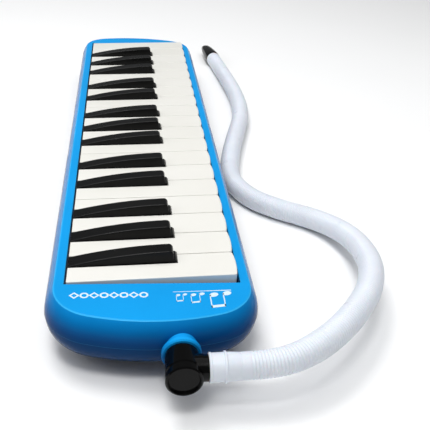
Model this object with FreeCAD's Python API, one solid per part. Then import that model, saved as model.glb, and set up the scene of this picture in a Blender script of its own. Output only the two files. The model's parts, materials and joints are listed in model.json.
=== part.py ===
import FreeCAD, Part
import math
import os

# Melodica: 32 keys, F3 to C6.
# Frame: +X runs from the bass end to the treble end, -Y is the player's side (the key fronts), +Z is up.
# The origin is under the middle of the case and its mouth socket, on the surface that they rest on.
# All sizes are in millimetres.

V = FreeCAD.Vector
UP = V(0, 0, 1)
LENGTHWISE = V(1, 0, 0)
TINY = 0.01

# ---------------------------------------------------------------- case
CASE_LOW_X = -212.0
CASE_HIGH_X = 216.0
CASE_HALF_WIDTH = 49.0
CASE_TOP = 33.0
SEAM_Z = 20.5
WALL = 2.0
END_ARC_R = 99.5
CORNER_R = 26.5
SHOULDER_INSET = 4.5
CREASE_ROUND = 1.2
SEAM_ROUND = 0.3
SEAM_LEDGE = 0.3
SIDE_ROUND = 22.0
END_ROUND = 34.0
BASE_CORNER_R = 10.0
LOWER_STEPS = 6
UPPER_STEPS = 3
SKIRT_WALL = 1.4
SKIRT_Z = 24.2
OPENING_ROUND = 0.4

# ---------------------------------------------------------------- screws
BOSS_R = 3.2
SCREW_R = 1.25
SCREW_HEAD_R = 2.3
SCREW_HEAD_T = 1.6
HEAD_SEAT_R = 2.5
CROSS_REACH = 1.3
CROSS_HALF = 0.25
CROSS_DEPTH = 0.7
CASE_HEAD_Z = 7.0
BED_HEAD_Z = 4.0
CASE_SCREWS = [(-192.0, -20.0), (-198.0, 10.0), (198.0, -20.0), (199.0, 6.0)]
BED_SCREWS = [(x, y) for x in (-150.0, -50.0, 50.0, 150.0) for y in (-22.0, 8.5)]
RIB_XS = (-160.0, -95.0, -30.0, 35.0, 100.0, 165.0)
RIB_HALF = 1.0

# ---------------------------------------------------------------- keyboard
PITCH = 19.5
KEYS_LOW_X = -179.0
KEY_NAMES = "f3 g3 a3 b3 c4 d4 e4 f4 g4 a4 b4 c5 d5 e5 f5 g5 a5 b5 c6".split()
SHARP_OFFSETS = {"f": -3.0, "g": 0.0, "a": 3.5, "c": -2.0, "d": 2.5}
KEYS_HIGH_X = KEYS_LOW_X + PITCH * len(KEY_NAMES)
KEY_FRONT_Y = -39.5
KEY_REAR_Y = 39.2
KEY_GAP = 0.5
KEY_REAR_Z = 32.9
KEY_FRONT_Z = 36.67
KEY_UNDER_Z = 26.0
KEY_WALL = 1.3
KEY_FRONT_WALL = 2.2
KEY_ROOF = 2.2
KEY_CORNER_R = 1.2
KEY_EDGE_R = 0.5
FRONT_BULGE = 0.75
TAIL_Z = 25.3
BELLY_Z = 24.4
BELLY_FRONT_Y = 17.5
RISE_FRONT_Y = 9.0
POCKET_REAR_Y = 25.0
FRONT_GAP = 0.9
REAR_GAP = 1.0
END_GAP = 1.2
OPENING_X = (KEYS_LOW_X - END_GAP, KEYS_HIGH_X + END_GAP)
OPENING_Y = (KEY_FRONT_Y - FRONT_GAP, KEY_REAR_Y + REAR_GAP)

BLACK_BASE = 8.7
BLACK_TOP = 7.4
BLACK_TOE_Y = -11.5
BLACK_TOE_Z = 36.4
BLACK_FRONT_Y = -9.9
BLACK_RAKE = 6.0
BLACK_PEAK_Z = 40.9
BLACK_BACK_Y = 15.9
BLACK_BACK_Z = 38.25
BLACK_LEAN_Z = 31.5
BLACK_CROWN_R = 2.2
BLACK_EDGE_R = 0.6
BLACK_FRONT_WALL = 1.6
BLACK_ROOF_Z = 33.2
BLACK_CLEARANCE = 0.6

# ---------------------------------------------------------------- action
PIVOT_Y = 22.0
PIVOT_Z = 27.0
ROD_R = 1.0
ROD_CLEARANCE = 0.05
LUG_T = 2.0
LUG_R = 2.1
BED_LOW_X = -181.5
BED_HIGH_X = 193.5
BED_Z = 18.5
BED_TOP = 20.5
BED_Y = (-43.0, 13.5)
POST_HALF = 1.6
POST_DEPTH = 4.0
POST_TOP = 29.5
WHITE_POST_Y = -27.0
BLACK_POST_Y = -7.5
BOARD_Z = 20.8
BOARD_TOP = 23.3
BOARD_Y = (14.0, 43.5)
SLOT_Y = (27.5, 37.5)
SLOT_HALF = 1.6
PAD_Y = (26.2, 38.8)
PAD_LIFT = 0.15
WHITE_PAD_MARGIN = 0.6
BLACK_PAD_MARGIN = 0.4
SPRING_T = 0.35
SPRING_HALF = 1.1
SPRING_FOOT = 8.0
SPRING_RUN = 4.0
SPRING_HOOK = 2.5
SPRING_CLEARANCE = 0.25
WHITE_SPRING_Y = -1.0
BLACK_SPRING_Y = 4.0
FELT_Y = (-39.0, -29.0)
FELT_TOP = 21.9

# ---------------------------------------------------------------- wind way
CHEST_LOW_X = -181.0
CHEST_HIGH_X = 193.0
CHEST_Y = (16.0, 40.7)
CHEST_Z = (9.0, 20.0)
CHEST_WALL = 1.5
PLATE_T = 1.0
PLATE_X = {"bass": (-177.5, 1.5), "treble": (2.5, 189.5)}
PLATE_Y = (18.2, 39.0)
PLATE_SCREW_R = 0.9
PLATE_SCREW_HEAD_R = 1.5
PLATE_SCREW_HEAD_T = 0.9
PLATE_SCREW_BITE = 1.8
PLATE_SCREWS_EACH = 4
REED_Y = (24.5, 38.0)
REED_SLOT_HALF = 1.2
REED_HALF = 1.0
REED_T = 0.25
REED_DROP = 0.5
REED_ROOT_HALF = 1.5
REED_SHORTENING = 6.0
RIVET_R = 0.7

PORT_Y = -11.0
PORT_FACE_X = -216.0
PORT_BORE_R = 6.2
COLLAR_R = 8.75
COLLAR_LENGTH = 2.5
NECK_R = 7.4
SOCKET_DEPTH = 10.4
STOP_FLANGE_R = 9.6
STOP_FLANGE = (11.5, 13.5)
SOCKET_LENGTH = 14.0
DUCT_R = 5.0
DUCT_BORE_R = 3.8
DUCT_TURN_X = -189.0
DUCT_BEND_R = 6.5

VALVE_Y = 29.0
VALVE_Z = 14.5
BUTTON_FACE_X = 215.0
BUTTON_R = 4.0
BUTTON_T = 6.0
BUTTON_HOLE_R = 4.3
STEM_R = 1.2
DRAIN_R = 2.5
SEAL_R = 3.8
SEAL_T = 1.8
SEAL_GAP = 0.1
COIL_R = 2.6
COIL_WIRE_R = 0.3
COIL_TURNS = 5
COIL_GAP = 0.4

# ---------------------------------------------------------------- hose set
HOSE_D = 13.2
HOSE_BORE_R = 4.8
HOSE_FLOOR_Z = HOSE_D / 2 + 0.05
HOSE_ROUTE = [
    (-224.0, -35.0, 21.3),
    (-224.0, -48.5, 21.75),
    (-219.5, -62.5, 22.2),
    (-208.0, -78.5, 22.5),
    (-192.5, -93.0, 22.4),
    (-172.5, -107.0, 21.5),
    (-149.0, -116.0, 19.6),
    (-125.5, -118.5, 16.0),
    (-105.0, -117.0, 12.2),
    (-87.5, -111.0, 8.8),
    (-73.5, -99.5, HOSE_FLOOR_Z),
    (-64.0, -83.0, HOSE_FLOOR_Z),
    (-49.0, -66.5, HOSE_FLOOR_Z),
    (-23.0, -57.5, HOSE_FLOOR_Z),
    (13.0, -63.0, HOSE_FLOOR_Z),
    (48.5, -71.5, HOSE_FLOOR_Z),
    (90.0, -82.5, HOSE_FLOOR_Z),
    (134.0, -85.0, HOSE_FLOOR_Z),
    (186.5, -81.5, HOSE_FLOOR_Z),
    (239.0, -76.0, HOSE_FLOOR_Z),
]
ARC_FILL = 0.45
ELBOW_END_X = -232.0
BARREL_R = 7.6
CAP_R = 7.9
SPIGOT_R = PORT_BORE_R - 0.05
SPIGOT_DEPTH = 10.0
ELBOW_BORE_R = 4.4
ARM_START = V(-224.0, PORT_Y, SEAM_Z)
ARM = (V(*HOSE_ROUTE[0]) - ARM_START).normalize()
ARM_R = 6.2
ARM_SHOULDER = 10.4
ARM_TIP_R = 4.75
ARM_LENGTH = 16.0
ARM_BORE_R = 3.4
CUFF_START = 10.6
CUFF_R = 6.2
CUFF_END_R = 5.9
CUFF_RIB_R = 6.75
MOUTHPIECE_OUTSIDE = [
    (0.0, 6.9, 6.3),
    (12.0, 6.8, 6.2),
    (24.0, 6.0, 5.1),
    (33.0, 5.1, 3.9),
    (38.0, 4.2, 2.8),
]
MOUTHPIECE_BORE = [(-1.0, 4.3, 4.2), (24.0, 3.8, 3.1), (39.0, 2.5, 1.4)]


# ================================================================ helpers
def box(x, y, z):
    """A block between pairs of coordinates."""
    return Part.makeBox(x[1] - x[0], y[1] - y[0], z[1] - z[0], V(x[0], y[0], z[0]))


def rod(radius, start, end):
    """A round bar from one point to another."""
    start = V(*start)
    end = V(*end)
    return Part.makeCylinder(radius, (end - start).Length, start, end - start)


def prism_along_x(points, low_x, high_x):
    """A side outline, as (y, z) points, drawn out along X."""
    wire = Part.makePolygon([V(low_x, y, z) for y, z in points + points[:1]])
    return Part.Face(wire).extrude(V(high_x - low_x, 0, 0))


def revolved(profile, origin, direction):
    """A turned piece: (distance along the axis, radius) points about an axis through origin."""
    wire = Part.makePolygon([V(radius, 0, distance) for distance, radius in profile + profile[:1]])
    solid = Part.Face(wire).revolve(V(0, 0, 0), UP, 360)
    solid.Placement = FreeCAD.Placement(V(*origin), FreeCAD.Rotation(UP, V(*direction)))
    return solid


def rounded_path(points, fill=None, radius=None):
    """Straight runs joined by tangent arcs; gives the wire and the arc radii."""
    points = [V(*point) for point in points]
    edges = []
    radii = []
    start = points[0]
    for before, corner, after in zip(points, points[1:], points[2:]):
        into = (before - corner).normalize()
        out = (after - corner).normalize()
        half_turn = (math.pi - into.getAngle(out)) / 2
        shorter = min((before - corner).Length, (after - corner).Length)
        arc_r = radius if radius else fill * shorter / math.tan(half_turn)
        trim = arc_r * math.tan(half_turn)
        first = corner + into * trim
        last = corner + out * trim
        bisector = (into + out).normalize()
        middle = corner + bisector * (arc_r / math.cos(half_turn) - arc_r)
        edges.append(Part.LineSegment(start, first).toShape())
        edges.append(Part.Arc(first, middle, last).toShape())
        radii.append(arc_r)
        start = last
    edges.append(Part.LineSegment(start, points[-1]).toShape())
    return Part.Wire(edges), radii


def tube(wire, outer_r, bore_r):
    """A round tube along a wire, with its section square to the wire's start."""
    first = wire.Edges[0]
    origin = first.valueAt(first.FirstParameter)
    along = first.tangentAt(first.FirstParameter)

    def sweep(radius):
        ring = Part.Wire(Part.makeCircle(radius, origin, along))
        return wire.makePipeShell([ring], True, False)

    return sweep(outer_r).cut(sweep(bore_r))


def save(name, shape):
    shape.exportStep(os.path.join("parts", name + ".step"))


# ================================================================ case shells
def case_outline(z, half_width, low_x, high_x, corner_r):
    """Top view of the case at one height: straight sides, corner arcs, and a shallow arc at each end."""
    side = half_width - corner_r
    reach = math.sqrt((END_ARC_R - corner_r) ** 2 - side * side)
    low_corner = low_x + END_ARC_R - reach
    high_corner = high_x - END_ARC_R + reach
    join = math.atan2(side, reach)
    halfway = (join + math.pi / 2) / 2

    def on_corner(centre_x, sign_x, sign_y, angle):
        return V(
            centre_x + sign_x * corner_r * math.cos(angle),
            sign_y * (side + corner_r * math.sin(angle)),
            z,
        )

    def end(centre_x, sign_x, tip_x):
        """One end's three arcs, from the rear side round to the front side."""
        rear = on_corner(centre_x, sign_x, 1, join)
        front = on_corner(centre_x, sign_x, -1, join)
        rear_side = V(centre_x, half_width, z)
        front_side = V(centre_x, -half_width, z)
        return [
            Part.Arc(rear_side, on_corner(centre_x, sign_x, 1, halfway), rear),
            Part.Arc(rear, V(tip_x, 0, z), front),
            Part.Arc(front, on_corner(centre_x, sign_x, -1, halfway), front_side),
        ]

    edges = [Part.LineSegment(V(low_corner, half_width, z), V(high_corner, half_width, z))]
    edges += end(high_corner, 1, high_x)
    edges.append(Part.LineSegment(V(high_corner, -half_width, z), V(low_corner, -half_width, z)))
    edges += reversed(end(low_corner, -1, low_x))
    return Part.Wire([edge.toShape() for edge in edges])


def lower_hull(inset, floor_z):
    """The boat-like lower body, moved in by inset: a quarter ellipse from its floor up to the seam."""
    sections = []
    for step in range(LOWER_STEPS + 1):
        angle = math.pi / 2 * (1 - step / LOWER_STEPS)
        fall = 1 - math.cos(angle)
        z = SEAM_Z - (SEAM_Z - floor_z) * math.sin(angle)
        side = inset + (SIDE_ROUND - inset) * fall
        end = inset + (END_ROUND - inset) * fall
        corner_r = CORNER_R - inset - (CORNER_R - BASE_CORNER_R) * fall
        sections.append(
            case_outline(z, CASE_HALF_WIDTH - side, CASE_LOW_X + end, CASE_HIGH_X - end, corner_r)
        )
    return Part.makeLoft(sections, True, False)


def upper_hull(inset):
    """The shoulder above the seam: an arc, upright at the seam, that leans in to the top face's crease."""
    rise = CASE_TOP - SEAM_Z
    arc_r = (rise * rise + SHOULDER_INSET * SHOULDER_INSET) / (2 * SHOULDER_INSET)
    top_angle = math.asin((rise - inset) / (arc_r - inset))
    sections = []
    for step in range(UPPER_STEPS + 1):
        angle = top_angle * step / UPPER_STEPS
        shift = inset + (arc_r - inset) * (1 - math.cos(angle))
        z = SEAM_Z + (arc_r - inset) * math.sin(angle)
        sections.append(
            case_outline(
                z, CASE_HALF_WIDTH - shift, CASE_LOW_X + shift, CASE_HIGH_X - shift, CORNER_R - shift
            )
        )
    return Part.makeLoft(sections, True, False)


def port_hole():
    return rod(NECK_R, (PORT_FACE_X - 5, PORT_Y, SEAM_Z), (PORT_FACE_X + 16, PORT_Y, SEAM_Z))


def make_upper_case():
    outer = upper_hull(0)
    outer = outer.makeFillet(CREASE_ROUND, [e for e in outer.Edges if e.BoundBox.ZMin > CASE_TOP - TINY])
    outer = outer.makeFillet(SEAM_ROUND, [e for e in outer.Edges if e.BoundBox.ZMax < SEAM_Z + TINY])
    shell = outer.cut(upper_hull(WALL))
    skirt = box(
        (OPENING_X[0] - SKIRT_WALL, OPENING_X[1] + SKIRT_WALL),
        (OPENING_Y[0] - SKIRT_WALL, OPENING_Y[1] + SKIRT_WALL),
        (SKIRT_Z, CASE_TOP - WALL / 2),
    )
    bosses = [
        rod(BOSS_R, (x, y, SEAM_Z), (x, y, CASE_TOP - WALL / 2)).cut(
            rod(SCREW_R, (x, y, SEAM_Z - 1), (x, y, CASE_TOP - WALL - 1))
        )
        for x, y in CASE_SCREWS
    ]
    shell = shell.fuse([skirt] + bosses)
    shell = shell.cut([box(OPENING_X, OPENING_Y, (SKIRT_Z - 1, CASE_TOP + 1)), port_hole()]).removeSplitter()
    rim = [
        e
        for e in shell.Edges
        if e.BoundBox.ZMin > CASE_TOP - TINY
        and e.BoundBox.XMin > OPENING_X[0] - TINY
        and e.BoundBox.XMax < OPENING_X[1] + TINY
        and e.BoundBox.YMin > OPENING_Y[0] - TINY
        and e.BoundBox.YMax < OPENING_Y[1] + TINY
    ]
    return shell.makeFillet(OPENING_ROUND, rim)


def make_lower_case():
    shell = lower_hull(SEAM_LEDGE, 0.0).cut(lower_hull(WALL, WALL))
    inside = [rod(BOSS_R, (x, y, 0), (x, y, SEAM_Z)) for x, y in CASE_SCREWS]
    inside += [rod(BOSS_R, (x, y, 0), (x, y, BED_Z)) for x, y in BED_SCREWS]
    for x in RIB_XS:
        rib = (x - RIB_HALF, x + RIB_HALF)
        inside.append(box(rib, (CHEST_Y[0] + 1, CHEST_Y[1] - 6), (0, CHEST_Z[0])))
        inside.append(box(rib, (-38.0, -27.0), (0, BED_Z)))
    within = lower_hull(WALL / 2, WALL / 2)
    shell = shell.fuse([piece.common(within) for piece in inside])
    holes = []
    for places, head_z in ((CASE_SCREWS, CASE_HEAD_Z), (BED_SCREWS, BED_HEAD_Z)):
        for x, y in places:
            holes.append(rod(SCREW_R, (x, y, -1), (x, y, SEAM_Z + 1)))
            holes.append(rod(HEAD_SEAT_R, (x, y, -1), (x, y, head_z)))
    holes.append(port_hole())
    end_wall = (CASE_HIGH_X - 11, CASE_HIGH_X + 4)
    holes.append(rod(BUTTON_HOLE_R, (end_wall[0], VALVE_Y, VALVE_Z), (end_wall[1], VALVE_Y, VALVE_Z)))
    return shell.cut(holes).removeSplitter()


def screw(x, y, head_z, tip_z):
    """A pan-head self-tapping screw, driven up from below, with a cross recess."""
    face_z = head_z - SCREW_HEAD_T
    long = (-CROSS_REACH, CROSS_REACH)
    narrow = (-CROSS_HALF, CROSS_HALF)
    head = rod(SCREW_HEAD_R, (x, y, face_z), (x, y, head_z))
    shank = rod(SCREW_R, (x, y, head_z), (x, y, tip_z))
    cross = []
    for across_x, across_y in ((long, narrow), (narrow, long)):
        cross.append(
            box(
                (x + across_x[0], x + across_x[1]),
                (y + across_y[0], y + across_y[1]),
                (face_z - 1, face_z + CROSS_DEPTH),
            )
        )
    return head.fuse(shank).cut(cross).removeSplitter()


def make_screws(places, head_z, tip_z):
    return Part.makeCompound([screw(x, y, head_z, tip_z) for x, y in places])


# ================================================================ keys
def sharp_centres():
    """Name of the white key before each black key, and the black key's middle."""
    found = []
    for index, name in enumerate(KEY_NAMES[:-1]):
        if name[0] in SHARP_OFFSETS:
            found.append((name, KEYS_LOW_X + PITCH * (index + 1) + SHARP_OFFSETS[name[0]]))
    return found


def white_top(y):
    """Height of a white key's top at rest: it rises evenly towards the front."""
    return KEY_REAR_Z + (KEY_FRONT_Z - KEY_REAR_Z) * (KEY_REAR_Y - y) / (KEY_REAR_Y - KEY_FRONT_Y)


def tail_bounds(index):
    """The stretch of X that a white key's tail may use between its black neighbours."""
    low = KEYS_LOW_X + PITCH * index + KEY_GAP / 2
    high = KEYS_LOW_X + PITCH * (index + 1) - KEY_GAP / 2
    half = BLACK_BASE / 2 + BLACK_CLEARANCE
    for _, centre in sharp_centres():
        if centre - half < low < centre + half:
            low = centre + half
        if centre - half < high < centre + half:
            high = centre - half
    return low, high


def tails():
    """(low x, high x, is black) of every key's tail, from bass to treble."""
    found = [(*tail_bounds(index), False) for index in range(len(KEY_NAMES))]
    for _, centre in sharp_centres():
        found.append((centre - BLACK_BASE / 2, centre + BLACK_BASE / 2, True))
    return sorted(found)


def tail_underside():
    """The lever's lower edge from its rear end forwards: the pad's land, the pivot's belly, and the rise."""
    return [
        (KEY_REAR_Y, TAIL_Z),
        (POCKET_REAR_Y + 0.5, TAIL_Z),
        (POCKET_REAR_Y, BELLY_Z),
        (BELLY_FRONT_Y, BELLY_Z),
        (RISE_FRONT_Y, KEY_UNDER_Z),
    ]


def pivot_bore(low, high):
    return rod(ROD_R + ROD_CLEARANCE, (low - 1, PIVOT_Y, PIVOT_Z), (high + 1, PIVOT_Y, PIVOT_Z))


def key_pad(low_x, high_x):
    """The rubber pad under a tail, which closes its slot in the pallet board."""
    return box((low_x, high_x), PAD_Y, (BOARD_TOP + PAD_LIFT, TAIL_Z))


def white_block(low, high):
    """The key before it is hollowed: a side outline, and a bulging front with rounded corners."""
    front_y = KEY_FRONT_Y + FRONT_BULGE
    side = [(KEY_REAR_Y, KEY_REAR_Z)] + tail_underside()
    side += [(front_y, KEY_UNDER_Z), (front_y, white_top(front_y))]
    arc = Part.Arc(V(low, front_y, 0), V((low + high) / 2, KEY_FRONT_Y, 0), V(high, front_y, 0)).toShape()
    plan = Part.Face(Part.Wire([arc, Part.makeLine(V(high, front_y, 0), V(low, front_y, 0))]))
    lip_side = [(KEY_FRONT_Y - 1, KEY_UNDER_Z), (front_y, KEY_UNDER_Z)]
    lip_side += [(front_y, white_top(front_y)), (KEY_FRONT_Y - 1, white_top(KEY_FRONT_Y - 1))]
    lip = plan.extrude(V(0, 0, 60)).common(prism_along_x(lip_side, low, high))
    block = prism_along_x(side, low, high).fuse(lip).removeSplitter()
    corners = [
        e
        for e in block.Edges
        if e.BoundBox.YMax < front_y + TINY and e.BoundBox.ZLength > 5 and e.BoundBox.XLength < TINY
    ]
    return block.makeFillet(KEY_CORNER_R, corners)


def make_white_key(index):
    low = KEYS_LOW_X + PITCH * index + KEY_GAP / 2
    high = low + PITCH - KEY_GAP
    tail_low, tail_high = tail_bounds(index)
    notch_y = BLACK_TOE_Y - BLACK_CLEARANCE
    body = white_block(low, high)
    for cut_low, cut_high in ((low - 1, tail_low), (tail_high, high + 1)):
        if cut_high - cut_low > 1 + TINY:
            body = body.cut(box((cut_low, cut_high), (notch_y, KEY_REAR_Y + 1), (20, 45)))
    front_wall_y = KEY_FRONT_Y + KEY_FRONT_WALL
    pocket_side = [(POCKET_REAR_Y, white_top(POCKET_REAR_Y) - KEY_ROOF), (POCKET_REAR_Y, 20.0)]
    pocket_side += [(front_wall_y, 20.0), (front_wall_y, white_top(KEY_FRONT_Y) - KEY_ROOF)]
    pocket = prism_along_x(pocket_side, tail_low + KEY_WALL, tail_high - KEY_WALL)
    front_pocket = prism_along_x(pocket_side, low + KEY_WALL, high - KEY_WALL).common(
        box((low, high), (KEY_FRONT_Y, notch_y - KEY_WALL), (0, 60))
    )
    body = body.cut([pocket, front_pocket, pivot_bore(low, high)])
    edges = [
        e
        for e in body.Edges
        if e.BoundBox.YMax < KEY_FRONT_Y + FRONT_BULGE + KEY_CORNER_R + 0.1
        and e.BoundBox.ZMin > KEY_FRONT_Z - 0.5
    ]
    body = body.makeFillet(KEY_EDGE_R, edges)
    return Part.makeCompound([body, key_pad(tail_low + WHITE_PAD_MARGIN, tail_high - WHITE_PAD_MARGIN)])


def black_side(low):
    """A black key's side outline: a low toe, a raked front, a rounded crown, and a back that arcs down."""
    shoulder = V(low, BLACK_FRONT_Y + BLACK_CROWN_R, BLACK_PEAK_Z)
    rear_top = V(low, KEY_REAR_Y, KEY_REAR_Z + 0.2)
    back = Part.Arc(shoulder, V(low, BLACK_BACK_Y, BLACK_BACK_Z), rear_top).toShape()
    crown_centre = shoulder + (back.Curve.Center - shoulder).normalize() * BLACK_CROWN_R
    rise = V(0, math.sin(math.radians(BLACK_RAKE)), math.cos(math.radians(BLACK_RAKE)))
    brow = crown_centre + V(0, -rise.z, rise.y) * BLACK_CROWN_R
    foot = brow - rise * ((brow.z - BLACK_TOE_Z - 0.1) / rise.z)
    outward = ((shoulder + brow) * 0.5 - crown_centre).normalize()
    crown = Part.Arc(brow, crown_centre + outward * BLACK_CROWN_R, shoulder).toShape()
    points = [V(low, y, z) for y, z in tail_underside()]
    points += [
        V(low, BLACK_TOE_Y, KEY_UNDER_Z),
        V(low, BLACK_TOE_Y, BLACK_TOE_Z - 0.4),
        V(low, BLACK_TOE_Y + 0.4, BLACK_TOE_Z),
        foot,
        brow,
    ]
    edges = [Part.makeLine(a, b) for a, b in zip(points, points[1:])]
    return Part.Face(Part.Wire(edges + [crown, back, Part.makeLine(rear_top, points[0])]))


def make_black_key(centre):
    low = centre - BLACK_BASE / 2
    high = centre + BLACK_BASE / 2
    lean = (BLACK_BASE - BLACK_TOP) / 2
    section = [
        (low, 20.0),
        (high, 20.0),
        (high, BLACK_LEAN_Z),
        (high - lean, BLACK_PEAK_Z + 0.3),
        (low + lean, BLACK_PEAK_Z + 0.3),
        (low, BLACK_LEAN_Z),
    ]
    wire = Part.makePolygon([V(x, KEY_REAR_Y + 1, z) for x, z in section + section[:1]])
    leaning_sides = Part.Face(wire).extrude(V(0, BLACK_TOE_Y - KEY_REAR_Y - 2, 0))
    body = black_side(low).extrude(V(BLACK_BASE, 0, 0)).common(leaning_sides)
    pocket_y = (BLACK_TOE_Y + BLACK_FRONT_WALL, POCKET_REAR_Y)
    pocket = box((low + KEY_WALL, high - KEY_WALL), pocket_y, (20, BLACK_ROOF_Z))
    body = body.cut([pocket, pivot_bore(low, high)])
    rims = [
        e
        for e in body.Edges
        if e.BoundBox.YLength > 20
        and e.BoundBox.ZMin > KEY_REAR_Z - 1
        and e.BoundBox.ZMax > BLACK_PEAK_Z - 1
    ]
    body = body.makeFillet(BLACK_EDGE_R, rims)
    return Part.makeCompound([body, key_pad(low + BLACK_PAD_MARGIN, high - BLACK_PAD_MARGIN)])


# ================================================================ action
def make_key_bed():
    """The plate under the keys, with a guide post inside each key."""
    plate = box((BED_LOW_X, BED_HIGH_X), BED_Y, (BED_Z, BED_TOP))
    posts = []
    for low, high, black in tails():
        post_x = ((low + high) / 2 - POST_HALF, (low + high) / 2 + POST_HALF)
        post_y = BLACK_POST_Y if black else WHITE_POST_Y
        posts.append(box(post_x, (post_y, post_y + POST_DEPTH), (BED_Z + 1, POST_TOP)))
    holes = [rod(SCREW_R, (x, y, BED_Z - 1), (x, y, BED_Z + 1.5)) for x, y in BED_SCREWS]
    return plate.fuse(posts).cut(holes).removeSplitter()


def make_pallet_board():
    """The airway's lid: a slot under each key's pad, and a lug beside each slot for the pivot rod."""
    board = box((BED_LOW_X, BED_HIGH_X), BOARD_Y, (BOARD_Z, BOARD_TOP))
    lugs = []
    cuts = [rod(ROD_R + 0.02, (BED_LOW_X - 1, PIVOT_Y, PIVOT_Z), (BED_HIGH_X + 1, PIVOT_Y, PIVOT_Z))]
    for low, high, _ in tails():
        middle = (low + high) / 2
        lugs.append(
            box(
                (middle - LUG_T / 2, middle + LUG_T / 2),
                (PIVOT_Y - LUG_R, PIVOT_Y + LUG_R),
                (BOARD_TOP - 1, PIVOT_Z + LUG_R),
            )
        )
        cuts.append(box((middle - SLOT_HALF, middle + SLOT_HALF), SLOT_Y, (BOARD_Z - 1, BOARD_TOP + 1)))
    for x, y in plate_screw_places():
        cuts.append(rod(PLATE_SCREW_R, (x, y, BOARD_Z - 1), (x, y, BOARD_Z + PLATE_SCREW_BITE)))
    return board.fuse(lugs).cut(cuts).removeSplitter()


def make_key_springs():
    """One bent leaf per key: its foot is on the bed and its hooked tip holds up the key's roof."""
    leaves = []
    for low, high, black in tails():
        middle = (low + high) / 2
        tip_y = BLACK_SPRING_Y if black else WHITE_SPRING_Y
        roof_z = BLACK_ROOF_Z if black else white_top(tip_y) - KEY_ROOF
        tip_z = roof_z - SPRING_CLEARANCE
        foot_y = tip_y - SPRING_RUN
        outline = [
            (foot_y + SPRING_FOOT, BED_TOP),
            (foot_y + SPRING_FOOT, BED_TOP + SPRING_T),
            (foot_y + 2.2, BED_TOP + SPRING_T),
            (tip_y + 0.2, tip_z - SPRING_T),
            (tip_y + SPRING_HOOK, tip_z - SPRING_T),
            (tip_y + SPRING_HOOK, tip_z),
            (tip_y - 0.2, tip_z),
            (foot_y + 1.6, BED_TOP),
        ]
        leaves.append(prism_along_x(outline, middle - SPRING_HALF, middle + SPRING_HALF))
    return Part.makeCompound(leaves)


def make_front_felt():
    return box((KEYS_LOW_X, KEYS_HIGH_X), FELT_Y, (BED_TOP, FELT_TOP))


def make_pivot_rod():
    ends = (OPENING_X[0] + 0.4, OPENING_X[1] - 0.4)
    return rod(ROD_R, (ends[0], PIVOT_Y, PIVOT_Z), (ends[1], PIVOT_Y, PIVOT_Z))


# ================================================================ wind way
def plate_screw_places():
    """A row of screws along the front edge of each reed plate."""
    places = []
    for low, high in PLATE_X.values():
        spacing = (high - low - 6.0) / (PLATE_SCREWS_EACH - 1)
        for step in range(PLATE_SCREWS_EACH):
            places.append((low + 3.0 + spacing * step, PLATE_Y[0] + 1.8))
    return places


def reed_middles(part):
    """Middle of each tail whose reed is on this plate."""
    low, high = PLATE_X[part]
    middles = [(tail_low + tail_high) / 2 for tail_low, tail_high, _ in tails()]
    return [middle for middle in middles if low < middle < high]


def make_reed_plate(part):
    low, high = PLATE_X[part]
    plate = box((low, high), PLATE_Y, (BOARD_Z - PLATE_T, BOARD_Z))
    through = (BOARD_Z - 2, BOARD_Z + 1)
    cuts = []
    for middle in reed_middles(part):
        cuts.append(box((middle - REED_SLOT_HALF, middle + REED_SLOT_HALF), REED_Y, through))
    for x, y in plate_screw_places():
        if low < x < high:
            cuts.append(rod(PLATE_SCREW_R, (x, y, through[0]), (x, y, through[1])))
    return plate.cut(cuts)


def make_reeds(part):
    """Brass tongues riveted under their slots; they shorten evenly from bass to treble."""
    reeds = []
    root_z = BOARD_Z - PLATE_T
    low_z = root_z - REED_DROP
    for middle in reed_middles(part):
        share = (middle - KEYS_LOW_X) / (KEYS_HIGH_X - KEYS_LOW_X)
        root_y = REED_Y[0] - 1.6 + REED_SHORTENING * share
        tongue_x = (middle - REED_HALF, middle + REED_HALF)
        root_x = (middle - REED_ROOT_HALF, middle + REED_ROOT_HALF)
        tongue = box(tongue_x, (root_y, REED_Y[1] - 0.3), (low_z, low_z + REED_T))
        root = box(root_x, (root_y - 1.2, root_y + 1.6), (low_z, root_z))
        rivet = rod(RIVET_R, (middle, root_y + 0.2, low_z - 0.5), (middle, root_y + 0.2, low_z + 0.1))
        reeds.append(tongue.fuse([root, rivet]).removeSplitter())
    return Part.makeCompound(reeds)


def make_plate_screws():
    screws = []
    seat_z = BOARD_Z - PLATE_T
    face_z = seat_z - PLATE_SCREW_HEAD_T
    for x, y in plate_screw_places():
        head = rod(PLATE_SCREW_HEAD_R, (x, y, face_z), (x, y, seat_z))
        shank = rod(PLATE_SCREW_R, (x, y, seat_z - 0.1), (x, y, BOARD_Z + PLATE_SCREW_BITE))
        slit = box((x - 1.6, x + 1.6), (y - 0.2, y + 0.2), (face_z - 0.1, face_z + 0.4))
        screws.append(head.fuse(shank).cut(slit).removeSplitter())
    return Part.makeCompound(screws)


def chest_hollow(low_z, high_z):
    """The room inside the chest's walls, between two heights."""
    return box(
        (CHEST_LOW_X + CHEST_WALL, CHEST_HIGH_X - CHEST_WALL),
        (CHEST_Y[0] + CHEST_WALL, CHEST_Y[1] - CHEST_WALL),
        (low_z, high_z),
    )


def make_wind_chest():
    tray = box((CHEST_LOW_X, CHEST_HIGH_X), CHEST_Y, CHEST_Z)
    inlet = rod(DUCT_BORE_R, (CHEST_LOW_X - 1, VALVE_Y, VALVE_Z), (CHEST_LOW_X + 3, VALVE_Y, VALVE_Z))
    drain = rod(DRAIN_R, (CHEST_HIGH_X - 3, VALVE_Y, VALVE_Z), (CHEST_HIGH_X + 1, VALVE_Y, VALVE_Z))
    return tray.cut([chest_hollow(CHEST_Z[0] + CHEST_WALL, CHEST_Z[1] + 1), inlet, drain])


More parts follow.
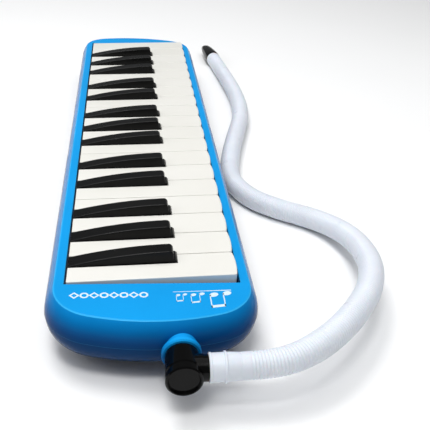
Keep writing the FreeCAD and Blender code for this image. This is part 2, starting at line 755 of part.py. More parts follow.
def make_chest_gasket():
    rim = box((CHEST_LOW_X, CHEST_HIGH_X), CHEST_Y, (CHEST_Z[1], BOARD_Z))
    return rim.cut(chest_hollow(CHEST_Z[1] - 1, BOARD_Z + 1))


def make_mouth_socket():
    """The blue ring for the elbow: a collar, a neck through the case's end, and a stop flange inside."""
    profile = [
        (0.3, PORT_BORE_R),
        (0.0, PORT_BORE_R + 0.3),
        (0.0, COLLAR_R - 0.6),
        (0.6, COLLAR_R),
        (COLLAR_LENGTH - 0.4, COLLAR_R),
        (COLLAR_LENGTH, COLLAR_R - 0.4),
        (COLLAR_LENGTH, NECK_R),
        (STOP_FLANGE[0], NECK_R),
        (STOP_FLANGE[0], STOP_FLANGE_R),
        (STOP_FLANGE[1], STOP_FLANGE_R),
        (STOP_FLANGE[1], PORT_BORE_R + 0.2),
        (SOCKET_LENGTH, PORT_BORE_R + 0.2),
        (SOCKET_LENGTH, DUCT_BORE_R),
        (SOCKET_DEPTH, DUCT_BORE_R),
        (SOCKET_DEPTH, PORT_BORE_R),
    ]
    return revolved(profile, (PORT_FACE_X, PORT_Y, SEAM_Z), LENGTHWISE)


def make_air_duct():
    """The bent pipe from the mouth socket to the chest's end wall."""
    corners = [
        (PORT_FACE_X + SOCKET_LENGTH, PORT_Y, SEAM_Z),
        (DUCT_TURN_X, PORT_Y, SEAM_Z),
        (DUCT_TURN_X, VALVE_Y, VALVE_Z),
        (CHEST_LOW_X, VALVE_Y, VALVE_Z),
    ]
    wire, _ = rounded_path(corners, radius=DUCT_BEND_R)
    return tube(wire, DUCT_R, DUCT_BORE_R)


# ================================================================ water valve
def make_valve_button():
    """The button in the treble end and its stem, which reaches through the chest's drain hole."""
    stem_end = BUTTON_FACE_X - CHEST_HIGH_X + CHEST_WALL + SEAL_GAP
    profile = [
        (0.0, 0.0),
        (0.0, BUTTON_R - 1.0),
        (0.6, BUTTON_R - 0.2),
        (1.0, BUTTON_R),
        (BUTTON_T, BUTTON_R),
        (BUTTON_T, STEM_R),
        (stem_end, STEM_R),
        (stem_end, 0.0),
    ]
    return revolved(profile, (BUTTON_FACE_X, VALVE_Y, VALVE_Z), -LENGTHWISE)


def make_valve_seal():
    face_x = CHEST_HIGH_X - CHEST_WALL - SEAL_GAP
    return rod(SEAL_R, (face_x, VALVE_Y, VALVE_Z), (face_x - SEAL_T, VALVE_Y, VALVE_Z))


def make_valve_spring():
    """A coil between the chest's end wall and the button's inner face."""
    length = BUTTON_FACE_X - BUTTON_T - CHEST_HIGH_X - 2 * COIL_GAP
    helix = Part.makeHelix(length / COIL_TURNS, length, COIL_R)
    ring = Part.Wire(Part.makeCircle(COIL_WIRE_R, V(COIL_R, 0, 0), V(0, 1, 0)))
    coil = Part.Wire(helix).makePipeShell([ring], True, True)
    coil.Placement = FreeCAD.Placement(
        V(CHEST_HIGH_X + COIL_GAP, VALVE_Y, VALVE_Z), FreeCAD.Rotation(UP, LENGTHWISE)
    )
    return coil


# ================================================================ hose set
def make_elbow():
    """Black plug: spigot in the socket, barrel, groove, dished end cap, and a side arm for the hose."""
    reach = PORT_FACE_X - ELBOW_END_X
    barrel = [
        (1.2, 0.0),
        (1.2, CAP_R - 1.6),
        (0.0, CAP_R - 1.1),
        (0.0, CAP_R - 0.6),
        (0.6, CAP_R),
        (3.2, CAP_R),
        (3.6, BARREL_R - 0.4),
        (4.8, BARREL_R - 0.4),
        (5.2, BARREL_R),
        (reach - 0.4, BARREL_R - 0.2),
        (reach - 0.4, SPIGOT_R),
        (reach + SPIGOT_DEPTH, SPIGOT_R),
        (reach + SPIGOT_DEPTH, ELBOW_BORE_R),
        (4.0, ELBOW_BORE_R),
        (4.0, 0.0),
    ]
    arm = [
        (0.0, 0.0),
        (0.0, ARM_R),
        (ARM_SHOULDER - 2.2, ARM_R - 0.2),
        (ARM_SHOULDER - 2.2, ARM_R - 0.5),
        (ARM_SHOULDER, ARM_R - 0.5),
        (ARM_SHOULDER, ARM_TIP_R),
        (ARM_LENGTH, ARM_TIP_R),
        (ARM_LENGTH, 0.0),
    ]
    body = revolved(barrel, (ELBOW_END_X, PORT_Y, SEAM_Z), LENGTHWISE)
    side = revolved(arm, ARM_START, ARM)
    arm_bore = rod(ARM_BORE_R, ARM_START, ARM_START + ARM * (ARM_LENGTH + 5))
    barrel_bore = rod(ELBOW_BORE_R, (ELBOW_END_X + 4.0, PORT_Y, SEAM_Z), (PORT_FACE_X + 5, PORT_Y, SEAM_Z))
    return body.fuse(side).cut([barrel_bore, arm_bore]).removeSplitter()


def make_hose_cuff():
    """The hose's smooth sleeve over the arm's tip: a rim, a rib, and a taper into the corrugated part."""
    length = (V(*HOSE_ROUTE[0]) - ARM_START).Length - CUFF_START
    profile = [
        (0.0, HOSE_BORE_R),
        (0.0, CUFF_R - 0.2),
        (0.3, CUFF_R + 0.2),
        (1.0, CUFF_R + 0.2),
        (1.3, CUFF_R - 0.05),
        (6.4, CUFF_R),
        (6.6, CUFF_RIB_R),
        (7.4, CUFF_RIB_R),
        (7.7, CUFF_R + 0.05),
        (10.4, CUFF_R - 0.1),
        (length, CUFF_END_R),
        (length, HOSE_BORE_R),
    ]
    return revolved(profile, ARM_START + ARM * CUFF_START, ARM)


def make_hose():
    wire, radii = rounded_path(HOSE_ROUTE, fill=ARC_FILL)
    solid = tube(wire, HOSE_D / 2, HOSE_BORE_R)
    ring_area = math.pi * (HOSE_D * HOSE_D / 4 - HOSE_BORE_R * HOSE_BORE_R)
    ratio = solid.Volume / (ring_area * wire.Length)
    print("hose radii", [round(radius, 1) for radius in radii])
    print("hose length", round(wire.Length, 1), "volume ratio", round(ratio, 4))
    return solid


def make_mouthpiece():
    """Black tip on the hose's end: a short, slightly flattened sleeve that narrows to a small oval mouth."""
    end = V(*HOSE_ROUTE[-1])
    along = (end - V(*HOSE_ROUTE[-2])).normalize()

    def loft(sections):
        """A solid through upright ovals, each (distance, half width, half height)."""
        ovals = []
        for distance, half_width, half_height in sections:
            centre = V(distance, 0, 0)
            ellipse = Part.Ellipse(centre + V(0, half_width, 0), centre + V(0, 0, half_height), centre)
            ovals.append(Part.Wire(ellipse.toShape()))
        return Part.makeLoft(ovals, True, False)

    tip = loft(MOUTHPIECE_OUTSIDE).cut(loft(MOUTHPIECE_BORE))
    tip.Placement = FreeCAD.Placement(end, FreeCAD.Rotation(LENGTHWISE, along))
    return tip


# ================================================================ build
os.makedirs("parts", exist_ok=True)
save("upper_case", make_upper_case())
save("lower_case", make_lower_case())
save("case_screws", make_screws(CASE_SCREWS, CASE_HEAD_Z, CASE_TOP - WALL - 2))
save("bed_screws", make_screws(BED_SCREWS, BED_HEAD_Z, BED_Z + 1.4))
for key_index, key_name in enumerate(KEY_NAMES):
    save("white_key_" + key_name, make_white_key(key_index))
for key_name, key_centre in sharp_centres():
    save("black_key_" + key_name + "_sharp", make_black_key(key_centre))
save("key_bed", make_key_bed())
save("key_springs", make_key_springs())
save("front_felt", make_front_felt())
save("pivot_rod", make_pivot_rod())
save("pallet_board", make_pallet_board())
save("wind_chest", make_wind_chest())
save("chest_gasket", make_chest_gasket())
for plate_name in PLATE_X:
    save("reed_plate_" + plate_name, make_reed_plate(plate_name))
    save("reeds_" + plate_name, make_reeds(plate_name))
save("plate_screws", make_plate_screws())
save("mouth_socket", make_mouth_socket())
save("air_duct", make_air_duct())
save("water_valve_button", make_valve_button())
save("water_valve_seal", make_valve_seal())
save("water_valve_spring", make_valve_spring())
save("elbow", make_elbow())
save("hose_cuff", make_hose_cuff())
save("hose", make_hose())
save("mouthpiece", make_mouthpiece())
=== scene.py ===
import json
import math

import bmesh
import bpy
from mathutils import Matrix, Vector


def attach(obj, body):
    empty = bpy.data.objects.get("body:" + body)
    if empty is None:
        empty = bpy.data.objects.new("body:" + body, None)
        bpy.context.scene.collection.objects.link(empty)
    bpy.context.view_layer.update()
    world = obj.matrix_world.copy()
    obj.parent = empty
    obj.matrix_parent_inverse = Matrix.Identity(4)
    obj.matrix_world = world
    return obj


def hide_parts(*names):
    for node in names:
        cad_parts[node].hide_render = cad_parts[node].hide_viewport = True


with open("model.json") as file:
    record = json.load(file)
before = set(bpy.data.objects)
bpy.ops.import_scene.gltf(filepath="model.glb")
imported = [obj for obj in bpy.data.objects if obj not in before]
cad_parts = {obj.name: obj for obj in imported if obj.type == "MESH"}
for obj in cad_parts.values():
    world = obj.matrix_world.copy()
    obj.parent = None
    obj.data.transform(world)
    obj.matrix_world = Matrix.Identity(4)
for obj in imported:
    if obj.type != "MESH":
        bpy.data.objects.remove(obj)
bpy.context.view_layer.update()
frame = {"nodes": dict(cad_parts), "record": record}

MM = 0.001

# ---------------------------------------------------------------- camera: past the bass end
CAMERA_PLACE = (-0.4473, 0.0148, 0.2222)
CAMERA_TURN = (60.35, -3.89, -96.46)
CAMERA_LENS = 59.68
CAMERA_SENSOR = 36.0
CAMERA_NEAR = 0.01

# ---------------------------------------------------------------- lights: name, place, target, size, power
LIGHTS = [
    ("overhead", (-0.05, 0.0, 1.4), (0.0, 0.0, 0.0), (2.2, 2.0), 14.5),
    ("softbox", (0.10, 0.25, 1.0), (-0.05, 0.0, 0.0), (0.45, 0.30), 3.6),
    ("glint", (-0.50, 0.10, 1.0), (-0.15, 0.0, 0.0), (0.26, 0.20), 3.2),
    ("rear_side", (-0.1, 1.0, 0.7), (0.0, 0.0, 0.0), (0.8, 0.5), 2.0),
]
WORLD_TINT = (0.96, 0.98, 1.0, 1.0)
WORLD_STRENGTH = 0.20

# ---------------------------------------------------------------- studio floor, just under the part
FLOOR_PLACE = (0.5, 0.0, -0.0002)
FLOOR_REACH = 5.0
FLOOR_CELLS = 8

# ---------------------------------------------------------------- hose, along its centre line from the cuff
HOSE_D = 0.0132
HOSE_FLOOR = 0.00665
HOSE_ROUTE = [
    (-0.2240, -0.0350, 0.02130),
    (-0.2240, -0.0485, 0.02175),
    (-0.2195, -0.0625, 0.02220),
    (-0.2080, -0.0785, 0.02250),
    (-0.1925, -0.0930, 0.02240),
    (-0.1725, -0.1070, 0.02150),
    (-0.1490, -0.1160, 0.01960),
    (-0.1255, -0.1185, 0.01600),
    (-0.1050, -0.1170, 0.01220),
    (-0.0875, -0.1110, 0.00880),
    (-0.0735, -0.0995, HOSE_FLOOR),
    (-0.0640, -0.0830, HOSE_FLOOR),
    (-0.0490, -0.0665, HOSE_FLOOR),
    (-0.0230, -0.0575, HOSE_FLOOR),
    (0.0130, -0.0630, HOSE_FLOOR),
    (0.0485, -0.0715, HOSE_FLOOR),
    (0.0900, -0.0825, HOSE_FLOOR),
    (0.1340, -0.0850, HOSE_FLOOR),
    (0.1865, -0.0815, HOSE_FLOOR),
    (0.2390, -0.0760, HOSE_FLOOR),
]
ROUTE_ORDER = 3
ROUTE_STEPS = 60

# The hose starts narrower, at the cuff, and swells to its full width. Its ends are plain, the rest is ribbed.
HOSE_START_D = 0.0119
HOSE_SWELL = 0.040
SMOOTH_END = 3.0 * MM
RIB_PITCH = 1.45 * MM
RIB_DEPTH = 0.36 * MM
GROOVE_SHARPNESS = 2
RINGS_PER_RIB = 6
RING_POINTS = 36

# ---------------------------------------------------------------- printed marks on the case's bass end
# Heights are in metres; places and sizes are in millimetres, as (u, v) of the class Print.
PRINT_BASE_Z = 32.97 * MM
PRINT_TOP_Z = 33.04 * MM
OVAL_POINTS = 24

SIGN_ROW_U = 2.6
SIGN_ROW_V = 189.1
SIGN_PITCH = 4.35
SIGN_LEAD = 0.45
SIGN_COUNT = 8
RING_OUTER = 2.0
RING_INNER = 1.15
RING_CORNERS = 28
DIAMOND_OUTER = 2.35
DIAMOND_INNER = 1.35

# Each pair of notes has its (u, v) from the start of the line under them, and its scale.
NOTES_U = -35.0
NOTES_V = 186.6
NOTE_PAIRS = [
    (0.0, 0.6, 1.12),
    (12.2, 1.4, 0.72),
    (20.2, 1.9, 0.56),
]
NOTE_HEAD_LONG = 1.9
NOTE_HEAD_SHORT = 1.3
NOTE_HEAD_LEAN = 0.42
NOTE_STEP = 5.4
NOTE_RISE = 8.6
STEM_WIDTH = 0.42
STEM_REACH = 0.93
BEAM_LIFT = 0.9
BEAM_DEPTH = 1.5
# The line's lower and upper edge at its start and at its end, from NOTES_V.
UNDERLINE_LENGTH = 26.5
UNDERLINE_START = (-0.6, 0.0)
UNDERLINE_END = (0.5, 0.8)

# ---------------------------------------------------------------- finishes
BLUE_HEIGHT = 0.033
# Blue by height, as a share of BLUE_HEIGHT: painted shade that darkens towards the bottom, a painted
# highlight line at the seam (0.625) and a painted highlight along the top's crease (0.993).
CASE_SHADE_AND_HIGHLIGHT_RAMP = [
    (0.00, (0.002, 0.018, 0.065)),
    (0.42, (0.002, 0.034, 0.115)),
    (0.616, (0.002, 0.039, 0.132)),
    (0.625, (0.015, 0.120, 0.300)),
    (0.635, (0.002, 0.041, 0.138)),
    (0.70, (0.002, 0.047, 0.170)),
    (0.77, (0.002, 0.072, 0.235)),
    (0.89, (0.002, 0.150, 0.420)),
    (0.985, (0.003, 0.210, 0.550)),
    (0.993, (0.045, 0.480, 0.880)),
    (0.999, (0.008, 0.304, 0.715)),
]
# Painted shade: the socket's blue darkens towards its bottom, by height.
SOCKET_SHADE_RAMP = [
    (0.35, (0.002, 0.040, 0.130)),
    (0.62, (0.002, 0.110, 0.330)),
    (0.80, (0.004, 0.240, 0.620)),
    (0.88, (0.008, 0.330, 0.780)),
]

# Noise values between these two spread over the whole of what they drive.
NOISE_LOW = 0.3
NOISE_HIGH = 0.7


# ================================================================ material helpers
def grey(level):
    return (level, level, level)


class Surface:
    """A Principled material and short ways to add to it."""

    def __init__(self, name):
        self.material = bpy.data.materials.new(name)
        self.material.use_nodes = True
        self.tree = self.material.node_tree
        self.shader = self.tree.nodes["Principled BSDF"]
        self.coords = self.node("ShaderNodeTexCoord").outputs["Object"]

    def node(self, kind, **settings):
        made = self.tree.nodes.new(kind)
        for key, value in settings.items():
            setattr(made, key, value)
        return made

    def link(self, source, target):
        self.tree.links.new(source, target)

    def constants(self, **values):
        for key, value in values.items():
            self.shader.inputs[key.replace("_", " ")].default_value = value

    def stretched(self, scale):
        mapping = self.node("ShaderNodeMapping")
        mapping.inputs["Scale"].default_value = scale
        self.link(self.coords, mapping.inputs["Vector"])
        return mapping.outputs["Vector"]

    def noise(self, scale, detail=2.0, roughness=0.5, vector=None):
        made = self.node("ShaderNodeTexNoise")
        made.inputs["Scale"].default_value = scale
        made.inputs["Detail"].default_value = detail
        made.inputs["Roughness"].default_value = roughness
        self.link(vector or self.coords, made.inputs["Vector"])
        return made.outputs["Fac"]

    def ramp(self, factor, stops):
        made = self.node("ShaderNodeValToRGB")
        elements = made.color_ramp.elements
        while len(elements) < len(stops):
            elements.new(0.5)
        for element, (place, colour) in zip(elements, stops):
            element.position = place
            element.color = (*colour, 1.0)
        self.link(factor, made.inputs["Fac"])
        return made.outputs["Color"]

    def tones(self, factor, dark, light):
        return self.ramp(factor, [(NOISE_LOW, dark), (NOISE_HIGH, light)])

    def spread(self, factor, low, high, start=NOISE_LOW, end=NOISE_HIGH):
        made = self.node("ShaderNodeMapRange")
        made.inputs["From Min"].default_value = start
        made.inputs["From Max"].default_value = end
        made.inputs["To Min"].default_value = low
        made.inputs["To Max"].default_value = high
        self.link(factor, made.inputs["Value"])
        return made.outputs["Result"]

    def bump(self, height, distance, strength, under=None):
        made = self.node("ShaderNodeBump")
        made.inputs["Distance"].default_value = distance
        made.inputs["Strength"].default_value = strength
        self.link(height, made.inputs["Height"])
        if under is not None:
            self.link(under, made.inputs["Normal"])
        self.link(made.outputs["Normal"], self.shader.inputs["Normal"])
        return made.outputs["Normal"]

    def colour(self, source):
        self.link(source, self.shader.inputs["Base Color"])

    def roughness(self, source):
        self.link(source, self.shader.inputs["Roughness"])


def moulded_plastic(name, dark, light, rough, grain, depth=0.00001, gloss=0.5):
    """Moulded plastic: slow colour drift, smudges in the gloss, and a fine moulded grain."""
    surface = Surface(name)
    surface.colour(surface.tones(surface.noise(scale=22.0, detail=3.0), dark, light))
    smudge = surface.noise(scale=60.0, detail=4.0, roughness=0.6)
    surface.roughness(surface.spread(smudge, *rough))
    surface.bump(surface.noise(scale=grain), distance=depth, strength=0.6)
    surface.constants(Specular_IOR_Level=gloss)
    return surface.material


def blue_plastic(name, painted_light_ramp):
    """Azure plastic with painted shade, darker towards the bottom, and painted highlight lines, all set by
    height; with a smudged gloss, fine wiping marks and a soft grain.
    """
    surface = Surface(name)
    height = surface.node("ShaderNodeSeparateXYZ")
    surface.link(surface.coords, height.inputs["Vector"])
    # Painted shade and painted highlights: the colour comes from a ramp over the height, darker towards the
    # bottom.
    level = surface.spread(height.outputs["Z"], low=0.0, high=1.0, start=0.0, end=BLUE_HEIGHT)
    drifting = surface.node("ShaderNodeVectorMath", operation="SCALE")
    surface.link(surface.ramp(level, painted_light_ramp), drifting.inputs[0])
    drift = surface.spread(surface.noise(scale=18.0, detail=3.0), low=0.93, high=1.05)
    surface.link(drift, drifting.inputs["Scale"])
    surface.colour(drifting.outputs["Vector"])
    smudge = surface.noise(scale=70.0, detail=5.0, roughness=0.65)
    surface.roughness(surface.spread(smudge, low=0.16, high=0.27))
    along_x = surface.stretched((0.25, 3.0, 1.0))
    wipes = surface.noise(scale=160.0, detail=3.0, roughness=0.6, vector=along_x)
    wiped = surface.bump(wipes, distance=0.000004, strength=0.35)
    surface.bump(surface.noise(scale=1100.0), distance=0.000008, strength=0.5, under=wiped)
    surface.constants(Specular_IOR_Level=0.04)
    return surface.material


def key_ivory():
    return moulded_plastic(
        "key_ivory_plastic",
        dark=(0.745, 0.735, 0.685),
        light=(0.785, 0.775, 0.735),
        rough=(0.30, 0.42),
        grain=1400.0,
        depth=0.000008,
        gloss=0.4,
    )


def key_black():
    return moulded_plastic(
        "key_black_plastic",
        dark=grey(0.0025),
        light=grey(0.0045),
        rough=(0.24, 0.36),
        grain=1700.0,
        depth=0.000010,
        gloss=0.16,
    )


def fitting_black():
    return moulded_plastic(
        "fitting_black_plastic",
        dark=grey(0.0012),
        light=grey(0.0025),
        rough=(0.10, 0.18),
        grain=1100.0,
        depth=0.000006,
        gloss=0.13,
    )


def hose_white():
    """Milky corrugated plastic, a little greyer in patches, with a fine grain."""
    surface = Surface("hose_white_plastic")
    patches = surface.noise(scale=55.0, detail=4.0, roughness=0.55)
    surface.colour(surface.tones(patches, dark=(0.68, 0.72, 0.785), light=(0.74, 0.78, 0.845)))
    surface.roughness(surface.spread(surface.noise(scale=120.0, detail=3.0), low=0.26, high=0.40))
    surface.bump(surface.noise(scale=1500.0), distance=0.00001, strength=0.5)
    surface.constants(Subsurface_Weight=0.12, Subsurface_Scale=0.002, Specular_IOR_Level=0.35)
    return surface.material


def inner_plastic():
    return moulded_plastic(
        "inner_grey_plastic",
        dark=(0.30, 0.30, 0.28),
        light=(0.38, 0.38, 0.35),
        rough=(0.45, 0.6),
        grain=800.0,
    )


def button_black():
    return moulded_plastic(
        "button_black_plastic",
        dark=(0.012, 0.012, 0.013),
        light=(0.02, 0.02, 0.021),
        rough=(0.35, 0.5),
        grain=1500.0,
    )


def seal_rubber():
    return moulded_plastic(
        "seal_rubber",
        dark=grey(0.015),
        light=grey(0.03),
        rough=(0.6, 0.8),
        grain=2500.0,
        depth=0.00003,
    )


def felt():
    surface = Surface("red_felt")
    fibres = surface.noise(scale=900.0, detail=5.0, roughness=0.8)
    surface.colour(surface.tones(fibres, dark=(0.20, 0.01, 0.012), light=(0.34, 0.03, 0.03)))
    nap = surface.noise(scale=2600.0, detail=4.0, roughness=0.8)
    surface.bump(nap, distance=0.0002, strength=0.9)
    surface.constants(Roughness=0.95, Sheen_Weight=0.6)
    return surface.material


def metal(name, dark, light, rough, along=(1.0, 1.0, 1.0)):
    """Bare metal. Its grain runs long in the directions whose scale in along is small."""
    surface = Surface(name)
    grain = surface.noise(scale=500.0, detail=4.0, roughness=0.7, vector=surface.stretched(along))
    surface.colour(surface.tones(grain, dark, light))
    surface.roughness(surface.spread(grain, *rough))
    surface.bump(grain, distance=0.00001, strength=0.5)
    surface.constants(Metallic=1.0)
    return surface.material


def milled_brass():
    return metal(
        "milled_brass",
        dark=(0.60, 0.42, 0.16),
        light=(0.78, 0.60, 0.28),
        rough=(0.25, 0.4),
        along=(0.05, 1.0, 1.0),
    )


def plated_steel():
    return metal(
        "plated_steel",
        dark=(0.50, 0.50, 0.52),
        light=(0.72, 0.72, 0.74),
        rough=(0.2, 0.35),
    )


def print_white():
    """Screen-printed ink, slightly uneven in its cover."""
    return moulded_plastic(
        "printed_white",
        dark=(0.58, 0.72, 0.81),
        light=(0.70, 0.81, 0.87),
        rough=(0.4, 0.55),
        grain=1800.0,
        depth=0.000006,
    )


def floor_white():
    surface = Surface("floor_white")
    surface.colour(surface.tones(surface.noise(scale=3.0, detail=3.0), dark=grey(0.93), light=grey(0.95)))
    surface.bump(surface.noise(scale=300.0), distance=0.00002, strength=0.2)
    surface.constants(Roughness=0.9, Specular_IOR_Level=0.2)
    return surface.material


MATERIALS = {
    "case_blue": blue_plastic("case_blue_plastic", CASE_SHADE_AND_HIGHLIGHT_RAMP),
    "key_ivory": key_ivory(),
    "key_black": key_black(),
    "fitting_black": fitting_black(),
    "hose_white": hose_white(),
    "inner_plastic": inner_plastic(),
    "reed_brass": milled_brass(),
    "seal_rubber": seal_rubber(),
    "felt": felt(),
    "button_grey": button_black(),
    "steel": plated_steel(),
}
SOCKET_BLUE = blue_plastic("socket_blue_plastic", SOCKET_SHADE_RAMP)
PRINT_WHITE = print_white()


def dress_frame():
    """Give every CAD node its finish."""
    slots = {part["node"]: part["material_slot"] for part in frame["record"]["subparts"]}
    for name, node in frame["nodes"].items():
        node.data.materials.clear()
        node.data.materials.append(SOCKET_BLUE if name == "mouth_socket" else MATERIALS[slots[name]])


# ================================================================ objects
def add_object(name, data):
    made = bpy.data.objects.new(name, data)
    bpy.context.scene.collection.objects.link(made)
    return made


def add_mesh(name, shape, material):
    """An object from a bmesh, which is used up."""
    mesh = bpy.data.meshes.new(name)
    shape.to_mesh(mesh)
    shape.free()
    mesh.materials.append(material)
    return add_object(name, mesh)


def bridge(shape, first, second):
    """A band of four-sided faces between two closed rings of as many points."""
    for index in range(len(first)):
        after = (index + 1) % len(first)
        shape.faces.new((first[index], first[after], second[after], second[index]))


# ================================================================ stage
def make_camera():
    data = bpy.data.cameras.new("camera")
    data.lens = CAMERA_LENS
    data.sensor_width = CAMERA_SENSOR
    data.clip_start = CAMERA_NEAR
    camera = add_object("camera", data)
    camera.location = CAMERA_PLACE
    camera.rotation_euler = [math.radians(angle) for angle in CAMERA_TURN]
    bpy.context.scene.camera = camera


def area_light(name, place, target, size, power):
    data = bpy.data.lights.new(name, "AREA")
    data.shape = "RECTANGLE"
    data.size, data.size_y = size
    data.energy = power
    light = add_object(name, data)
    light.location = place
    light.rotation_euler = (Vector(target) - Vector(place)).to_track_quat("-Z", "Y").to_euler()


def make_floor():
    shape = bmesh.new()
    bmesh.ops.create_grid(shape, x_segments=FLOOR_CELLS, y_segments=FLOOR_CELLS, size=FLOOR_REACH)
    floor = add_mesh("studio_floor", shape, floor_white())
    floor.location = FLOOR_PLACE


def make_stage():
    """The floor, the pale surroundings and the lights."""
    make_floor()
    world = bpy.data.worlds.new("studio")
    world.use_nodes = True
    background = world.node_tree.nodes["Background"]
    background.inputs["Color"].default_value = WORLD_TINT
    background.inputs["Strength"].default_value = WORLD_STRENGTH
    bpy.context.scene.world = world
    for light in LIGHTS:
        area_light(*light)
    view = bpy.context.scene.view_settings
    view.view_transform = "Standard"
    view.look = "None"


# ================================================================ hose
def route_points():
    """Points along the route's own smooth spline."""
    data = bpy.data.curves.new("hose_route", "CURVE")
    data.dimensions = "3D"
    spline = data.splines.new("NURBS")
    spline.points.add(len(HOSE_ROUTE) - 1)
    for point, place in zip(spline.points, HOSE_ROUTE):
        point.co = (*place, 1.0)
    spline.order_u = ROUTE_ORDER
    spline.use_endpoint_u = True
    spline.resolution_u = ROUTE_STEPS
    line = add_object("hose_route", data)
    bpy.context.view_layer.update()
    mesh = bpy.data.meshes.new_from_object(line)
    points = [vertex.co.copy() for vertex in mesh.vertices]
    bpy.data.objects.remove(line)
    return points


def evenly(points, step):
    """The same line with its points about a step apart, and its length."""
    places = [0.0]
    for a, b in zip(points, points[1:]):
        places.append(places[-1] + (b - a).length)
    length = places[-1]
    count = max(2, round(length / step))
    found = []
    index = 0
    for number in range(count + 1):
        place = length * number / count
        while index < len(places) - 2 and places[index + 1] < place:
            index += 1
        share = (place - places[index]) / (places[index + 1] - places[index])
        found.append(points[index].lerp(points[index + 1], share))
    return found, length


def carried_frames(points):
    """A side and an up direction for each point, turned as little as possible along the line."""
    side = Vector((1.0, 0.0, 0.0))
    frames = []
    for index in range(len(points)):
        before = points[max(index - 1, 0)]
        after = points[min(index + 1, len(points) - 1)]
        along = (after - before).normalized()
        side = (side - along * side.dot(along)).normalized()
        frames.append((side, along.cross(side)))
    return frames


def hose_radius(place, length):
    """The radius at a place along the hose: rounded ribs with narrow grooves, and short plain ends."""
    from_end = min(place, length - place)
    fade = min(1.0, max(0.0, (from_end - SMOOTH_END) / SMOOTH_END))
    wave = 0.5 - 0.5 * math.cos(2 * math.pi * place / RIB_PITCH)
    groove = (1.0 - wave) ** GROOVE_SHARPNESS * fade
    swell = min(1.0, place / HOSE_SWELL)
    return (HOSE_START_D + (HOSE_D - HOSE_START_D) * swell) / 2 - RIB_DEPTH * groove


def make_hose():
    """The corrugated tube, closed at both ends."""
    points, length = evenly(route_points(), RIB_PITCH / RINGS_PER_RIB)
    shape = bmesh.new()
    rings = []
    for index, (point, (side, up)) in enumerate(zip(points, carried_frames(points))):
        radius = hose_radius(length * index / (len(points) - 1), length)
        ring = []
        for step in range(RING_POINTS):
            angle = 2 * math.pi * step / RING_POINTS
            ring.append(shape.verts.new(point + (side * math.cos(angle) + up * math.sin(angle)) * radius))
        rings.append(ring)
    for first, second in zip(rings, rings[1:]):
        bridge(shape, first, second)
    shape.faces.new(list(reversed(rings[0])))
    shape.faces.new(rings[-1])
    bmesh.ops.recalc_face_normals(shape, faces=shape.faces)
    hose = add_mesh("corrugated_hose", shape, MATERIALS["hose_white"])
    for face in hose.data.polygons:
        face.use_smooth = len(face.vertices) == 4
    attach(hose, "hose_set")
    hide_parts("hose")


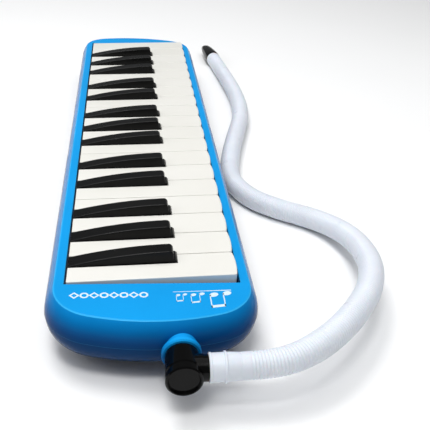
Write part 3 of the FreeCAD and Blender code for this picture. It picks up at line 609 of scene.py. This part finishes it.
# ================================================================ printed marks
class Print:
    """Flat ink shapes on the case's top. In millimetres, u runs along +Y and v, the shapes' up, along -X."""

    def __init__(self):
        self.shape = bmesh.new()

    def place(self, u, v, z):
        return self.shape.verts.new((v * -MM, u * MM, z))

    def patch(self, outline):
        """A thin closed slab over an outline of (u, v) points."""
        low = [self.place(u, v, PRINT_BASE_Z) for u, v in outline]
        high = [self.place(u, v, PRINT_TOP_Z) for u, v in outline]
        self.shape.faces.new(high)
        self.shape.faces.new(list(reversed(low)))
        bridge(self.shape, low, high)

    def ring(self, centre, outer, inner, corners):
        """A closed band: a round ring, or a diamond frame where it has four corners."""
        rings = []
        edges = [(outer, PRINT_TOP_Z), (inner, PRINT_TOP_Z), (inner, PRINT_BASE_Z), (outer, PRINT_BASE_Z)]
        for radius, z in edges:
            ring = []
            for index in range(corners):
                angle = 2 * math.pi * index / corners
                u = centre[0] + radius * math.cos(angle)
                v = centre[1] + radius * math.sin(angle)
                ring.append(self.place(u, v, z))
            rings.append(ring)
        for first, second in zip(rings, rings[1:] + rings[:1]):
            bridge(self.shape, first, second)

    def oval(self, centre, long, short, lean):
        """A filled oval whose long axis leans up from u by an angle."""
        outline = []
        for index in range(OVAL_POINTS):
            angle = 2 * math.pi * index / OVAL_POINTS
            a = long * math.cos(angle)
            b = short * math.sin(angle)
            u = centre[0] + a * math.cos(lean) - b * math.sin(lean)
            v = centre[1] + a * math.sin(lean) + b * math.cos(lean)
            outline.append((u, v))
        self.patch(outline)

    def finish(self, name):
        bmesh.ops.recalc_face_normals(self.shape, faces=self.shape.faces)
        piece = add_mesh(name, self.shape, PRINT_WHITE)
        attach(piece, "case")


def make_sign_row():
    """A row of small plain signs: rings and diamond frames by turns."""
    ink = Print()
    for index in range(SIGN_COUNT):
        centre = (SIGN_ROW_U + SIGN_PITCH * (index + SIGN_LEAD), SIGN_ROW_V)
        if index % 2:
            ink.ring(centre, DIAMOND_OUTER, DIAMOND_INNER, 4)
        else:
            ink.ring(centre, RING_OUTER, RING_INNER, RING_CORNERS)
    ink.finish("printed_sign_row")


def beamed_pair(ink, u, v, scale):
    """Two notes joined by a beam; (u, v) is the foot of the first note's head."""
    head_long = NOTE_HEAD_LONG * scale
    head_short = NOTE_HEAD_SHORT * scale
    rise = NOTE_RISE * scale
    stem = STEM_WIDTH * scale
    step = NOTE_STEP * scale
    lift = BEAM_LIFT * scale
    beam = BEAM_DEPTH * scale
    for index in range(2):
        centre = (u + head_long + step * index, v + head_short + lift * index)
        ink.oval(centre, head_long, head_short, NOTE_HEAD_LEAN)
        right = centre[0] + head_long * STEM_REACH
        top = centre[1] + rise
        ink.patch([(right - stem, centre[1]), (right, centre[1]), (right, top), (right - stem, top)])
    left = u + head_long * (1 + STEM_REACH) - stem
    right = left + step + stem
    foot = v + head_short + rise
    ink.patch([(left, foot - beam), (right, foot - beam + lift), (right, foot + lift), (left, foot)])


def make_notes():
    """A plain pictogram of beamed notes, large to small, over one fine line that climbs a little."""
    ink = Print()
    for across, up, scale in NOTE_PAIRS:
        beamed_pair(ink, NOTES_U + across, NOTES_V + up, scale)
    line_end = NOTES_U + UNDERLINE_LENGTH
    foot = [(NOTES_U, NOTES_V + UNDERLINE_START[0]), (line_end, NOTES_V + UNDERLINE_END[0])]
    top = [(line_end, NOTES_V + UNDERLINE_END[1]), (NOTES_U, NOTES_V + UNDERLINE_START[1])]
    ink.patch(foot + top)
    ink.finish("printed_notes")


make_camera()
make_hose()
make_stage()
dress_frame()
make_sign_row()
make_notes()
